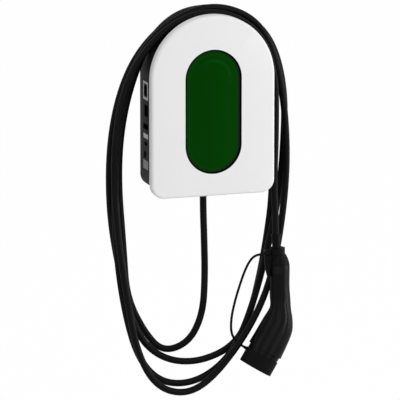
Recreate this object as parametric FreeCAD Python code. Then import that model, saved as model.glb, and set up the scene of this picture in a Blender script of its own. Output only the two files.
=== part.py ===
import FreeCAD, Part
import math
import os

from FreeCAD import Vector

# Wall-mounted charging station with its tethered cable hung in loops over the rear housing.
# Millimetres. The wall is the plane y = 0, the front faces -Y and +Z is up.
# The origin is the centre of the four wall holes, on the wall.

# Overall sizes of the box
TOTAL_DEPTH = 102.0
COVER_WIDTH = 246.0
COVER_HEIGHT = 350.0
COVER_BAND = 17.0
COVER_CORNER_R = 26.0
COVER_EDGE_R = 5.0
COVER_WALL = 3.0
OVERHANG = 8.0
BASE_CORNER_R = 24.0
BASE_WALL = 3.5
BACK_WALL = 4.0
BACK_RECESS = 2.5
BACK_RIM = 8.0
RIB_WIDTH = 2.5
FIT = 0.3

# Seal between the cover and the rear housing
RIM_LAP = 3.0
GASKET_THICKNESS = 2.0
SKIRT_WALL = 2.4
COVER_RIB = 1.8
COVER_RIB_COUNT = 22

# Window in the cover
WINDOW_R = 55.5
WINDOW_STRAIGHT = 128.0
WINDOW_Z = -11.5
WELL_DEPTH = 13.5
WELL_WALL = 2.5
WELL_FLOOR = 2.5
BEZEL_WALL = 1.7
BEZEL_PROUD = 1.0
BEZEL_LEDGE = 2.0
BEZEL_LEDGE_THICKNESS = 2.2
LENS_THICKNESS = 3.0
LENS_RECESS = 2.8
LENS_EDGE_R = 0.9
GUIDE_WALL = 4.0
GUIDE_DEPTH = 3.9
BOARD_THICKNESS = 1.6
LED_COUNT = 28
LED_HEIGHT = 1.4
LED_SIZE = 3.0
READER_WIDTH = 46.0
READER_HEIGHT = 66.0
READER_PAD = 1.2

# Cover screws and their tall bosses
COVER_SCREW_X = 40.0
COVER_SCREW_Z = COVER_HEIGHT * 3 / 16
COVER_SCREW_R = 2.0
COVER_HEAD_R = 4.0
COVER_HEAD_HEIGHT = 2.6
COVER_SCREW_LENGTH = 18.0
COVER_BOSS_R = 4.8

# Wall holes
WALL_HOLE_R = 3.2
WALL_HOLE_X = 75.0
WALL_HOLE_Z = COVER_HEIGHT * 2 / 7
WALL_BOSS_R = 8.0
WALL_BOSS_HEIGHT = 14.0

# Boards behind the cover
POST_HEIGHT = 9.5
POST_R = 4.0
BOARD_SCREW_R = 1.45
BOARD_HEAD_R = 2.8
BOARD_HEAD_HEIGHT = 2.2
BOARD_SCREW_LENGTH = 8.0
POWER_SIDE_CLEARANCE = 16.5
POWER_HALF_WIDTH = COVER_WIDTH / 2 - OVERHANG - BASE_WALL - POWER_SIDE_CLEARANCE
POWER_TOP_Z = COVER_HEIGHT / 8
POWER_STEP_Z = -COVER_HEIGHT * 3 / 16
POWER_BOTTOM_Z = -COVER_HEIGHT / 3
CONTROL_HALF_WIDTH = 52.0
CONTROL_BOTTOM_Z = COVER_HEIGHT * 3 / 16
CONTROL_TOP_Z = COVER_HEIGHT * 3 / 8
POST_INSET = 7.0
POWER_POST_X = POWER_HALF_WIDTH - POST_INSET

# Parts that stand on the boards
POLE_PITCH = 11.0
POLE_COUNT = 5
TERMINAL_HEIGHT = 17.0
TERMINAL_DEPTH = 24.0
TERMINAL_GAP = 3.0
TERMINAL_EDGE = 5.5
POWER_TONGUE_HALF_WIDTH = TERMINAL_GAP / 2 + POLE_PITCH * POLE_COUNT + TERMINAL_EDGE
PART_GAP = 4.0
RELAY_EDGE = 2.0
RELAY_WIDTH = 36.0
RELAY_HEIGHT = 44.0
RELAY_DEPTH = 34.0
SENSOR_OUTER_R = 19.0
SENSOR_INNER_R = 11.0
SENSOR_LENGTH = 18.0
SENSOR_X = 36.0
SUPPLY_WIDTH = 40.0
SUPPLY_HEIGHT = 34.0
SUPPLY_DEPTH = 28.0
CAPACITOR_R = 6.5
CAPACITOR_HEIGHT = 24.0
CAPACITOR_COUNT = 3
CAPACITOR_EDGE = 9.5
CAPACITOR_TOP_EDGE = 14.0
CAPACITOR_GAP = 2.0

# Parts of the control board: width, height and thickness
RADIO_SIZE = (32.0, 24.0, 3.5)
PROCESSOR_SIZE = (20.0, 20.0, 2.2)
MEMORY_SIZE = (12.0, 10.0, 1.8)
PLUG_SIZE = (34.0, 8.0, 8.5)
METER_SIZE = (12.0, 20.0, 10.0)

# Entries in the bottom of the rear housing
ENTRY_STAND = 36.0
GLAND_THREAD_R = 10.0
GLAND_HEX = 26.0
GLAND_FLANGE = 5.0
GLAND_NUT_LENGTH = 16.0
LOCKNUT_LENGTH = 5.0
THREAD_STAND = 4.0
ENTRY_SIDE_CLEARANCE = 53.0
SUPPLY_ENTRY_X = -(COVER_WIDTH / 2 - OVERHANG - ENTRY_SIDE_CLEARANCE)
GROMMET_HOLE_R = 12.5
GROMMET_BORE_R = 9.0
GROMMET_FLANGE_R = 15.5
GROMMET_FLANGE = 2.5

# Charging cable
CABLE_D = 12.6
STRAP_D = 4.0
CABLE_REACH = 17.0
CABLE_START_Z = -COVER_HEIGHT / 2 + OVERHANG + CABLE_REACH

# Charging connector, in the plane y = CONNECTOR_Y
CONNECTOR_Y = -75.0
HANDLE_X = 138.0
HANDLE_TOP_Z = -291.0
SLEEVE_X = 135.0
SLEEVE_LENGTH = 27.0
SLEEVE_R = 8.4
SLEEVE_TAIL_R = 7.2
SLEEVE_RING = 1.0
COLLAR_HEIGHT = 11.0
COLLAR_R = 14.8
COLLAR_WALL = 3.0
COLLAR_TAB = 26.0
COLLAR_TAB_THICKNESS = 7.0
COLLAR_CLIP = 9.0
COLLAR_CLIP_DROP = 4.0
STRAP_LUG_R = 2.8
STRAP_LUG_LENGTH = 4.0
NOSE_TILT = 31.0
SHROUD_X = 113.3
SHROUD_Z = -493.0
SHELL_WALL = 3.0
NECK_R = 31.8
NECK_LENGTH = 9.7
NECK_SEAT = 12.0
NOSE_R = 29.9
NOSE_LENGTH = 26.6
NOSE_FLAT = 25.0
NOSE_RECESS = 12.0
NOSE_RIM = 2.6
CAP_R = 33.6
CAP_FIT = 0.5
CAP_LENGTH = 29.0
CAP_END = 2.2
CAP_LUG_R = 3.2
CAP_LUG_TURN = 33.0
CAP_LUG_ALONG = 4.5
CAP_LUG_LENGTH = 4.2

# Contacts of the connector: across, up the face, and the radius of the sleeve
POWER_CONTACT_R = 4.0
PILOT_CONTACT_R = 2.6
CONTACT_WALL = 1.0
CONTACT_TUBE_WALL = 1.6
CONTACT_LENGTH = 24.0
CONTACT_FIT = 0.2
CONTACTS = [
    (0.0, 0.0, POWER_CONTACT_R),
    (-17.0, 0.0, POWER_CONTACT_R),
    (17.0, 0.0, POWER_CONTACT_R),
    (-8.5, -15.0, POWER_CONTACT_R),
    (8.5, -15.0, POWER_CONTACT_R),
    (-8.5, 13.0, PILOT_CONTACT_R),
    (8.5, 13.0, PILOT_CONTACT_R),
]

# Sections of the handle: centre x and z, tilt in degrees, half width, half depth, roundness of
# the front's crease (2 is round), and depth of the flutes
HANDLE_SECTIONS = [
    (139.4, -302.4, 0.0, 13.6, 12.4, 2.0, 0.0),
    (140.6, -306.5, 0.0, 15.3, 13.6, 1.8, 0.0),
    (142.6, -314.0, 0.0, 16.8, 15.2, 1.6, 0.0),
    (144.8, -326.0, 0.0, 17.7, 16.4, 1.5, 0.0),
    (145.0, -346.0, 0.0, 17.5, 17.0, 1.5, 0.0),
    (144.9, -367.5, 5.0, 17.6, 17.6, 1.5, 0.0),
    (146.1, -389.0, 15.4, 18.8, 19.0, 1.55, 0.15),
    (145.4, -405.2, 23.6, 21.8, 21.2, 1.65, 0.7),
    (146.1, -422.0, 28.0, 25.2, 24.4, 1.75, 1.0),
    (139.9, -443.0, 27.6, 31.3, 28.6, 1.85, 1.0),
    (128.5, -466.0, 29.0, 33.3, 32.2, 1.95, 0.75),
    (113.3, -493.0, 31.0, 34.6, 34.6, 2.0, 0.1),
]
SECTION_STEP_COUNT = 3
OUTER_POINT_COUNT = 60
INNER_POINT_COUNT = 24
SIDE_ROUNDNESS = 2.1
FLUTE_PITCH = 28.5
FLUTE_RIDGE = 88.0
FLUTE_FIRST = 62.0
FLUTE_LAST = 160.0
FLUTE_FADE = 14.0
SHELL_SCREWS = [(145.0, -334.0), (145.0, -372.0), (157.0, -438.0), (124.0, -448.0)]
SHELL_SCREW_R = 1.9
SHELL_HEAD_R = 3.4
SHELL_HEAD_HEIGHT = 2.4
SHELL_SCREW_LENGTH = 16.0

# Wires from the cable's end to its terminals: the outer ones cross lower
CORE_D = 3.0
CORE_CIRCLE_R = 4.1
CORE_TURNS = [162, 234, 90, 306, 18]
CORE_CROSS_STEP = 4.0
CORE_CROSS_LOW = 7.0

# Route of the charging cable, from inside the gland to the connector
EXIT_START = [(0, -ENTRY_STAND, CABLE_START_Z)]
EXIT_FALL = [(0, -36, -205), (2, -36, -265), (6, -36, -347), (8, -37, -424)]
FIRST_BOTTOM = [(-23, -33, -472), (-78, -21, -485), (-127, -11, -456)]
FIRST_RISE = [(-147, -15, -390), (-159, -16, -285), (-168, -22, -134), (-153, -25, 12)]
FIRST_ARCH = [(-111, -26, 115), (-54, -26, 169), (16, -26, 180), (80, -26, 153), (124, -26, 87)]
FIRST_FALL = [(130, -25, -21), (148, -23, -168), (137, -15, -318), (102, -17, -433)]
SECOND_BOTTOM = [(63, -22, -502), (-8, -27, -520), (-78, -28, -508), (-132, -29, -450)]
SECOND_RISE = [(-160, -35, -344), (-185, -39, -199), (-186, -40, -47)]
SECOND_ARCH = [(-146, -40, 81), (-79, -40, 156), (-1, -40, 185), (75, -40, 169), (138, -40, 114)]
SECOND_FALL = [(164, -40, 15), (162, -40, -126), (143, -31, -277), (112, -30, -419)]
THIRD_BOTTOM = [(51, -39, -506), (-12, -42, -553), (-80, -42, -554), (-132, -43, -505)]
THIRD_RISE = [(-158, -46, -417), (-179, -51, -283), (-183, -54, -130), (-171, -54, 15)]
THIRD_ARCH = [(-124, -54, 117), (-50, -54, 172), (26, -54, 187), (98, -54, 155), (146, -54, 85)]
THIRD_FALL = [(160, -54, -32), (161, -54, -181), (145, -44, -332), (92, -57, -457)]
FOURTH_BOTTOM = [(18, -67, -526), (-39, -63, -568), (-106, -63, -551), (-141, -62, -484)]
FOURTH_RISE = [(-166, -62, -380), (-186, -65, -233), (-186, -68, -81), (-165, -68, 52)]
FOURTH_ARCH = [(-105, -68, 134), (-33, -68, 175), (41, -68, 173), (105, -68, 131), (136, -68, 51)]
CONNECTOR_FALL = [(133, -74, -67), (131, -73, -168), (135, -75, -240), (135, -75, -310)]
CABLE_ROUTE = (
    EXIT_START + EXIT_FALL + FIRST_BOTTOM + FIRST_RISE + FIRST_ARCH + FIRST_FALL
    + SECOND_BOTTOM + SECOND_RISE + SECOND_ARCH + SECOND_FALL
    + THIRD_BOTTOM + THIRD_RISE + THIRD_ARCH + THIRD_FALL
    + FOURTH_BOTTOM + FOURTH_RISE + FOURTH_ARCH + CONNECTOR_FALL
)

# Route of the cap's strap, from the collar's clip to the cap's lug
STRAP_ROUTE = [
    (107.8, -75.0, -302.0),
    (95.0, -75.0, -302.0),
    (84.0, -71.0, -313.0),
    (75.0, -67.0, -333.0),
    (66.0, -63.0, -362.0),
    (57.0, -58.0, -397.0),
    (51.0, -54.0, -432.0),
    (53.0, -49.0, -463.0),
    (67.9, -46.2, -482.6),
    (78.6, -54.4, -489.1),
]

# Places that follow from the sizes above
Y_FRONT = -TOTAL_DEPTH
Y_COVER_REAR = Y_FRONT + COVER_BAND
Y_COVER_INSIDE = Y_FRONT + COVER_WALL
Y_BASE_RIM = Y_COVER_REAR - RIM_LAP
Y_SEAL_LAND = Y_BASE_RIM - GASKET_THICKNESS
Y_FLOOR_FRONT = Y_FRONT + WELL_DEPTH
Y_FLOOR_REAR = Y_FLOOR_FRONT + WELL_FLOOR
Y_LENS_FRONT = Y_FRONT + LENS_RECESS
Y_LENS_REAR = Y_LENS_FRONT + LENS_THICKNESS
Y_LED_BOARD = Y_FLOOR_FRONT - FIT
Y_BACK_INSIDE = -(BACK_RECESS + BACK_WALL)
Y_BOARD_REAR = Y_BACK_INSIDE - POST_HEIGHT
Y_BOARD_FRONT = Y_BOARD_REAR - BOARD_THICKNESS
ARCH_R = COVER_WIDTH / 2
ARCH_Z = COVER_HEIGHT / 2 - ARCH_R
COVER_BOTTOM_Z = -COVER_HEIGHT / 2
BASE_BOTTOM_Z = COVER_BOTTOM_Z + OVERHANG
BASE_HALF_WIDTH = ARCH_R - OVERHANG
Y_ENTRY = -ENTRY_STAND
LENS_R = WINDOW_R - FIT / 2 - BEZEL_WALL - FIT / 2
OUT = Vector(0, -1, 0)
DOWN = Vector(0, 0, -1)
UP = Vector(0, 0, 1)


def box(x0, x1, y0, y1, z0, z1):
    return Part.makeBox(x1 - x0, y1 - y0, z1 - z0, Vector(x0, y0, z0))


def rod(r, start, direction, length):
    return Part.makeCylinder(r, length, Vector(*start), direction)


def fuse_all(shapes):
    body = shapes[0]
    for shape in shapes[1:]:
        body = body.fuse(shape)
    return body.removeSplitter()


def arc_edge(x, z, r, start_deg, end_deg, y):
    angles = [start_deg, (start_deg + end_deg) / 2, end_deg]
    points = []
    for angle in angles:
        turn = math.radians(angle)
        points.append(Vector(x + r * math.cos(turn), y, z + r * math.sin(turn)))
    return Part.Arc(*points).toShape()


def line_edge(x0, z0, x1, z1, y):
    return Part.LineSegment(Vector(x0, y, z0), Vector(x1, y, z1)).toShape()


def prism(edges, y0, y1):
    face = Part.Face(Part.Wire(Part.__sortEdges__(edges)))
    return face.extrude(Vector(0, y1 - y0, 0))


def arch_block(inset, corner_r, y0, y1):
    """Round-topped block, inset all round from the cover's outline."""
    half = ARCH_R - inset
    bottom = COVER_BOTTOM_Z + inset
    r = max(corner_r, 1.0)
    edges = [
        arc_edge(0, ARCH_Z, half, 0, 180, y0),
        line_edge(-half, ARCH_Z, -half, bottom + r, y0),
        arc_edge(-half + r, bottom + r, r, 180, 270, y0),
        line_edge(-half + r, bottom, half - r, bottom, y0),
        arc_edge(half - r, bottom + r, r, 270, 360, y0),
        line_edge(half, bottom + r, half, ARCH_Z, y0),
    ]
    return prism(edges, y0, y1)


def base_block(inset, y0, y1):
    return arch_block(OVERHANG + inset, BASE_CORNER_R - inset, y0, y1)


def cover_block(inset, y0, y1):
    return arch_block(inset, COVER_CORNER_R - inset, y0, y1)


def oval_block(r, y0, y1):
    """Long round-ended block on the window's centre."""
    half = WINDOW_STRAIGHT / 2
    top = WINDOW_Z + half
    low = WINDOW_Z - half
    edges = [
        arc_edge(0, top, r, 0, 180, y0),
        line_edge(-r, top, -r, low, y0),
        arc_edge(0, low, r, 180, 360, y0),
        line_edge(r, low, r, top, y0),
    ]
    return prism(edges, y0, y1)


def ring(outer, inner):
    return outer.cut(inner)


def front_edges(shape, y):
    """Edges that lie wholly in the plane at y."""
    found = []
    for edge in shape.Edges:
        if abs(edge.BoundBox.YMin - y) < 1e-4 and abs(edge.BoundBox.YMax - y) < 1e-4:
            found.append(edge)
    return found


def mirrored_places(x, z):
    return [(-x, -z), (x, -z), (-x, z), (x, z)]


def cover_screw_places():
    return [(x, WINDOW_Z + z) for x, z in mirrored_places(COVER_SCREW_X, COVER_SCREW_Z)]


def wall_hole_places():
    return mirrored_places(WALL_HOLE_X, WALL_HOLE_Z)


def power_post_places():
    low = POWER_STEP_Z + POST_INSET
    high = POWER_TOP_Z - POST_INSET
    return [(x, z) for x in (-POWER_POST_X, POWER_POST_X) for z in (low, high)]


def control_post_places():
    side = CONTROL_HALF_WIDTH - POST_INSET
    low = CONTROL_BOTTOM_Z + POST_INSET
    high = CONTROL_TOP_Z - POST_INSET
    return [(x, z) for x in (-side, side) for z in (low, high)]


# Rear housing

def back_ribs():
    """Grid of ribs in the shallow recess of the back."""
    reach = BASE_HALF_WIDTH - BACK_RIM
    low = BASE_BOTTOM_Z + BACK_RIM
    high = ARCH_Z + reach
    ribs = []
    for x in (-WALL_HOLE_X, 0.0, WALL_HOLE_X):
        ribs.append(box(x - RIB_WIDTH / 2, x + RIB_WIDTH / 2, -BACK_RECESS, 0, low, high))
    for z in (-WALL_HOLE_Z, -WALL_HOLE_Z / 3, WALL_HOLE_Z / 3, WALL_HOLE_Z):
        ribs.append(box(-reach, reach, -BACK_RECESS, 0, z - RIB_WIDTH / 2, z + RIB_WIDTH / 2))
    return ribs


def make_rear_housing():
    tray = base_block(0, Y_BASE_RIM, 0)
    tray = tray.cut(base_block(BASE_WALL, Y_BASE_RIM, Y_BACK_INSIDE))
    recess = base_block(BACK_RIM, -BACK_RECESS, 0)
    for rib in back_ribs():
        recess = recess.cut(rib)
    for x, z in wall_hole_places():
        recess = recess.cut(rod(WALL_BOSS_R, (x, 0, z), OUT, BACK_RECESS))
    tray = tray.cut(recess)
    bosses = []
    for x, z in wall_hole_places():
        bosses.append(rod(WALL_BOSS_R, (x, -BACK_RECESS, z), OUT, WALL_BOSS_HEIGHT - BACK_RECESS))
    for x, z in cover_screw_places():
        height = -Y_FLOOR_REAR - BACK_RECESS
        bosses.append(rod(COVER_BOSS_R, (x, -BACK_RECESS, z), OUT, height))
    for x, z in power_post_places() + control_post_places():
        bosses.append(rod(POST_R, (x, -BACK_RECESS, z), OUT, -Y_BOARD_REAR - BACK_RECESS))
    tray = fuse_all([tray] + bosses)
    for x, z in wall_hole_places():
        tray = tray.cut(rod(WALL_HOLE_R, (x, 1, z), OUT, WALL_BOSS_HEIGHT + 2))
    for x, z in cover_screw_places():
        start = (x, Y_FLOOR_REAR - 1, z)
        tray = tray.cut(rod(COVER_SCREW_R + FIT, start, -OUT, COVER_SCREW_LENGTH + 1))
    for x, z in power_post_places() + control_post_places():
        start = (x, Y_BOARD_REAR, z)
        tray = tray.cut(rod(BOARD_SCREW_R + FIT / 2, start, -OUT, BOARD_SCREW_LENGTH))
    wall_cut = BASE_WALL + 2
    gland_hole = (0, Y_ENTRY, BASE_BOTTOM_Z - 1)
    tray = tray.cut(rod(GLAND_THREAD_R + FIT, gland_hole, UP, wall_cut))
    entry_hole = (SUPPLY_ENTRY_X, Y_ENTRY, BASE_BOTTOM_Z - 1)
    return tray.cut(rod(GROMMET_HOLE_R, entry_hole, UP, wall_cut))


# Front cover, gasket and window

def cover_ribs():
    """Short ribs between the cover's side wall and its inner skirt."""
    reach = COVER_HEIGHT
    ribs = []
    for index in range(COVER_RIB_COUNT):
        angle = 360.0 * (index + 0.5) / COVER_RIB_COUNT
        rib = box(0, reach, Y_COVER_INSIDE - 1, Y_COVER_REAR - COVER_WALL, -COVER_RIB / 2, COVER_RIB / 2)
        rib.rotate(Vector(0, 0, 0), Vector(0, 1, 0), angle)
        ribs.append(rib)
    band = ring(cover_block(COVER_WALL - 1, Y_FRONT, 0), base_block(-FIT - SKIRT_WALL / 2, Y_FRONT, 0))
    return [band.common(rib) for rib in ribs]


def make_front_cover():
    skin = cover_block(0, Y_FRONT, Y_COVER_REAR)
    skin = skin.makeFillet(COVER_EDGE_R, front_edges(skin, Y_FRONT))
    skin = skin.cut(cover_block(COVER_WALL, Y_COVER_INSIDE, Y_COVER_REAR))
    skirt = ring(
        base_block(-FIT - SKIRT_WALL, Y_COVER_INSIDE - 1, Y_COVER_REAR),
        base_block(-FIT, Y_COVER_INSIDE - 1, Y_COVER_REAR),
    )
    land = ring(
        base_block(0, Y_COVER_INSIDE - 1, Y_SEAL_LAND),
        base_block(BASE_WALL, Y_COVER_INSIDE - 1, Y_SEAL_LAND),
    )
    well = oval_block(WINDOW_R + WELL_WALL, Y_COVER_INSIDE - 1, Y_FLOOR_REAR)
    cover = fuse_all([skin, skirt, land, well] + cover_ribs())
    cover = cover.cut(oval_block(WINDOW_R, Y_FRONT - 1, Y_FLOOR_FRONT))
    for x, z in cover_screw_places():
        cover = cover.cut(rod(COVER_SCREW_R + FIT, (x, Y_FLOOR_FRONT - 1, z), -OUT, WELL_FLOOR + 2))
    slot = box(-12, 12, Y_FLOOR_FRONT - 1, Y_FLOOR_REAR + 1, WINDOW_Z - 4, WINDOW_Z + 4)
    return cover.cut(slot)


def make_cover_gasket():
    return ring(
        base_block(FIT / 2, Y_SEAL_LAND, Y_BASE_RIM),
        base_block(BASE_WALL - FIT / 2, Y_SEAL_LAND, Y_BASE_RIM),
    )


def make_window_bezel():
    outer_r = WINDOW_R - FIT / 2
    y_front = Y_LENS_FRONT - LENS_RECESS + BEZEL_PROUD
    y_rear = Y_LENS_REAR + BEZEL_LEDGE_THICKNESS
    body = oval_block(outer_r, y_front, y_rear)
    body = body.cut(oval_block(outer_r - BEZEL_WALL, y_front, Y_LENS_REAR))
    return body.cut(oval_block(outer_r - BEZEL_WALL - BEZEL_LEDGE, Y_LENS_REAR, y_rear))


def make_window_lens():
    lens = oval_block(LENS_R, Y_LENS_FRONT, Y_LENS_REAR)
    return lens.makeFillet(LENS_EDGE_R, front_edges(lens, Y_LENS_FRONT))


def guide_outer_r():
    return WINDOW_R - FIT / 2 - BEZEL_WALL - BEZEL_LEDGE - FIT


def make_light_guide():
    outer_r = guide_outer_r()
    y_rear = Y_LENS_REAR + GUIDE_DEPTH
    return ring(
        oval_block(outer_r, Y_LENS_REAR, y_rear),
        oval_block(outer_r - GUIDE_WALL, Y_LENS_REAR, y_rear),
    )


def make_light_board():
    board = oval_block(WINDOW_R - 2 * FIT, Y_LED_BOARD - BOARD_THICKNESS, Y_LED_BOARD)
    for x, z in cover_screw_places():
        board = board.cut(rod(COVER_HEAD_R + 1, (x, Y_LED_BOARD + 1, z), OUT, BOARD_THICKNESS + 2))
    return board


def oval_path_places(r, count):
    """Evenly spaced places on an oval line, with their direction angle."""
    straight = WINDOW_STRAIGHT
    arc = math.pi * r
    total = 2 * (straight + arc)
    places = []
    for index in range(count):
        s = total * (index + 0.5) / count
        if s < straight:
            places.append((r, WINDOW_Z - straight / 2 + s))
        elif s < straight + arc:
            turn = (s - straight) / r
            places.append((r * math.cos(turn), WINDOW_Z + straight / 2 + r * math.sin(turn)))
        elif s < 2 * straight + arc:
            places.append((-r, WINDOW_Z + straight / 2 - (s - straight - arc)))
        else:
            turn = math.pi + (s - 2 * straight - arc) / r
            places.append((r * math.cos(turn), WINDOW_Z - straight / 2 + r * math.sin(turn)))
    return places


def make_status_lights():
    half = LED_SIZE / 2
    y_rear = Y_LED_BOARD - BOARD_THICKNESS
    lights = []
    for x, z in oval_path_places(guide_outer_r() - GUIDE_WALL / 2, LED_COUNT):
        lights.append(box(x - half, x + half, y_rear - LED_HEIGHT, y_rear, z - half, z + half))
    return Part.makeCompound(lights)


def make_card_reader():
    y_board = Y_LED_BOARD - BOARD_THICKNESS
    y_rear = y_board - READER_PAD
    half_w = READER_WIDTH / 2
    half_h = READER_HEIGHT / 2
    plate = box(-half_w, half_w, y_rear - 1, y_rear, WINDOW_Z - half_h, WINDOW_Z + half_h)
    loops = []
    for inset in (2, 8):
        w = half_w - inset
        h = half_h - inset
        loops.append(box(-w, w, y_rear - 1.6, y_rear - 1, WINDOW_Z - h, WINDOW_Z + h))
    coil = ring(*loops)
    pads = []
    for x, z in mirrored_places(half_w - 4, half_h - 4):
        pads.append(rod(2.5, (x, y_rear, WINDOW_Z + z), -OUT, READER_PAD))
    return fuse_all([plate, coil] + pads)


# Screws

def pan_screw(r, head_r, head_height, length, start, direction):
    """Screw whose head's underside is at start, with its shank along direction."""
    head = rod(head_r, start, -direction, head_height)
    shank = rod(r, start, direction, length)
    return head.fuse(shank).removeSplitter()


def make_cover_screws():
    screws = []
    for x, z in cover_screw_places():
        start = (x, Y_FLOOR_FRONT, z)
        screws.append(
            pan_screw(COVER_SCREW_R, COVER_HEAD_R, COVER_HEAD_HEIGHT, COVER_SCREW_LENGTH, start, -OUT)
        )
    return Part.makeCompound(screws)


def make_board_screws():
    screws = []
    for x, z in power_post_places() + control_post_places():
        start = (x, Y_BOARD_FRONT, z)
        screws.append(
            pan_screw(BOARD_SCREW_R, BOARD_HEAD_R, BOARD_HEAD_HEIGHT, BOARD_SCREW_LENGTH, start, -OUT)
        )
    return Part.makeCompound(screws)


# Boards and what stands on them

def drill_board(board, places):
    for x, z in places:
        start = (x, Y_BOARD_REAR + 1, z)
        board = board.cut(rod(BOARD_SCREW_R + FIT, start, OUT, BOARD_THICKNESS + 2))
    return board


def clear_bosses(board):
    """Clears the tall bosses of the cover screws."""
    for x, z in cover_screw_places():
        start = (x, Y_BOARD_REAR + 1, z)
        board = board.cut(rod(COVER_BOSS_R + 1, start, OUT, BOARD_THICKNESS + 2))
    return board


def make_power_board():
    upper = box(
        -POWER_HALF_WIDTH, POWER_HALF_WIDTH, Y_BOARD_FRONT, Y_BOARD_REAR, POWER_STEP_Z, POWER_TOP_Z
    )
    tongue = box(
        -POWER_TONGUE_HALF_WIDTH, POWER_TONGUE_HALF_WIDTH,
        Y_BOARD_FRONT, Y_BOARD_REAR, POWER_BOTTOM_Z, POWER_STEP_Z,
    )
    board = upper.fuse(tongue).removeSplitter()
    return drill_board(clear_bosses(board), power_post_places())


def make_control_board():
    board = box(
        -CONTROL_HALF_WIDTH, CONTROL_HALF_WIDTH,
        Y_BOARD_FRONT, Y_BOARD_REAR, CONTROL_BOTTOM_Z, CONTROL_TOP_Z,
    )
    return drill_board(clear_bosses(board), control_post_places())


def terminal_block(x_start):
    """Row of clamping terminals at the foot of the power board."""
    width = POLE_PITCH * POLE_COUNT
    z_low = POWER_BOTTOM_Z + 2
    z_high = z_low + TERMINAL_HEIGHT
    y_front = Y_BOARD_FRONT - TERMINAL_DEPTH
    block = box(x_start, x_start + width, y_front, Y_BOARD_FRONT, z_low, z_high)
    step = box(x_start, x_start + width, y_front, y_front + 7, z_high - 6, z_high)
    block = block.cut(step)
    for pole in range(POLE_COUNT):
        x = x_start + POLE_PITCH * (pole + 0.5)
        block = block.cut(rod(3.0, (x, y_front + 9, z_low), UP, 11))
        block = block.cut(rod(2.6, (x, y_front - 1, z_low + 6), -OUT, 8))
    return block


def make_relay(x, z):
    half_w = RELAY_WIDTH / 2
    half_h = RELAY_HEIGHT / 2
    y_front = Y_BOARD_FRONT - RELAY_DEPTH
    body = box(x - half_w, x + half_w, y_front, Y_BOARD_FRONT, z - half_h, z + half_h)
    body = body.makeFillet(2.0, front_edges(body, y_front))
    return body


def make_charging_relays():
    z = (POWER_TOP_Z + POWER_STEP_Z) / 2 + PART_GAP
    first = -POWER_HALF_WIDTH + RELAY_EDGE + RELAY_WIDTH / 2
    return Part.makeCompound([make_relay(x, z) for x in (first, first + RELAY_WIDTH + PART_GAP)])


def make_leakage_sensor():
    y = Y_BOARD_FRONT - SENSOR_OUTER_R
    z = POWER_STEP_Z + PART_GAP
    half = SENSOR_OUTER_R * 3 / 4
    core = rod(SENSOR_OUTER_R, (SENSOR_X, y, z), UP, SENSOR_LENGTH)
    foot = box(SENSOR_X - half, SENSOR_X + half, y, Y_BOARD_FRONT, z, z + SENSOR_LENGTH)
    body = core.fuse(foot).removeSplitter()
    return body.cut(rod(SENSOR_INNER_R, (SENSOR_X, y, z - 1), UP, SENSOR_LENGTH + 2))


def capacitor_x():
    return POWER_HALF_WIDTH - CAPACITOR_EDGE - CAPACITOR_R


def make_supply_module():
    y_front = Y_BOARD_FRONT - SUPPLY_DEPTH
    x0 = capacitor_x() - CAPACITOR_R - PART_GAP - SUPPLY_WIDTH
    z0 = POWER_TOP_Z - SUPPLY_HEIGHT - PART_GAP
    body = box(x0, x0 + SUPPLY_WIDTH, y_front, Y_BOARD_FRONT, z0, z0 + SUPPLY_HEIGHT)
    return body.makeFillet(1.5, front_edges(body, y_front))


def make_capacitors():
    parts = []
    for index in range(CAPACITOR_COUNT):
        z = POWER_TOP_Z - CAPACITOR_TOP_EDGE - index * (2 * CAPACITOR_R + CAPACITOR_GAP)
        parts.append(rod(CAPACITOR_R, (capacitor_x(), Y_BOARD_FRONT, z), OUT, CAPACITOR_HEIGHT))
    return Part.makeCompound(parts)


def control_block(size, x0, z0):
    """Block on the control board: width, height and thickness, then its left and lower sides."""
    width, height, thickness = size
    return box(x0, x0 + width, Y_BOARD_FRONT - thickness, Y_BOARD_FRONT, z0, z0 + height)


def make_radio_module():
    shield = control_block(RADIO_SIZE, -CONTROL_HALF_WIDTH / 2, CONTROL_TOP_Z - POST_INSET - RADIO_SIZE[1])
    return shield.makeFillet(1.0, front_edges(shield, Y_BOARD_FRONT - RADIO_SIZE[2]))


def make_board_chips():
    low = CONTROL_BOTTOM_Z + POST_INSET
    high = CONTROL_TOP_Z - POST_INSET
    chips = [
        control_block(PROCESSOR_SIZE, CONTROL_HALF_WIDTH / 4, high - PROCESSOR_SIZE[1]),
        control_block(MEMORY_SIZE, -CONTROL_HALF_WIDTH * 5 / 8, low),
        control_block(PLUG_SIZE, -CONTROL_HALF_WIDTH / 5, low),
        control_block(METER_SIZE, CONTROL_HALF_WIDTH - PART_GAP - METER_SIZE[0], low + PLUG_SIZE[1]),
    ]
    return Part.makeCompound(chips)


# Entries

def hexagon(across, x, y, z, height):
    """Hexagonal prism that stands on z with its flats across Y."""
    r = across / math.sqrt(3)
    points = []
    for corner in range(7):
        turn = math.radians(60 * corner)
        points.append(Vector(x + r * math.cos(turn), y + r * math.sin(turn), z))
    face = Part.Face(Part.makePolygon(points))
    return face.extrude(Vector(0, 0, height))


def gland_bore(z, height):
    return rod(CABLE_D / 2 + FIT, (0, Y_ENTRY, z), UP, height)


def make_gland_body():
    top = BASE_BOTTOM_Z + BASE_WALL + LOCKNUT_LENGTH + THREAD_STAND
    flange_low = BASE_BOTTOM_Z - GLAND_FLANGE
    thread = rod(GLAND_THREAD_R, (0, Y_ENTRY, flange_low), UP, top - flange_low)
    flange = hexagon(GLAND_HEX, 0, Y_ENTRY, flange_low, GLAND_FLANGE)
    body = thread.fuse(flange).removeSplitter()
    return body.cut(gland_bore(flange_low - 1, top - flange_low + 2))


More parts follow.
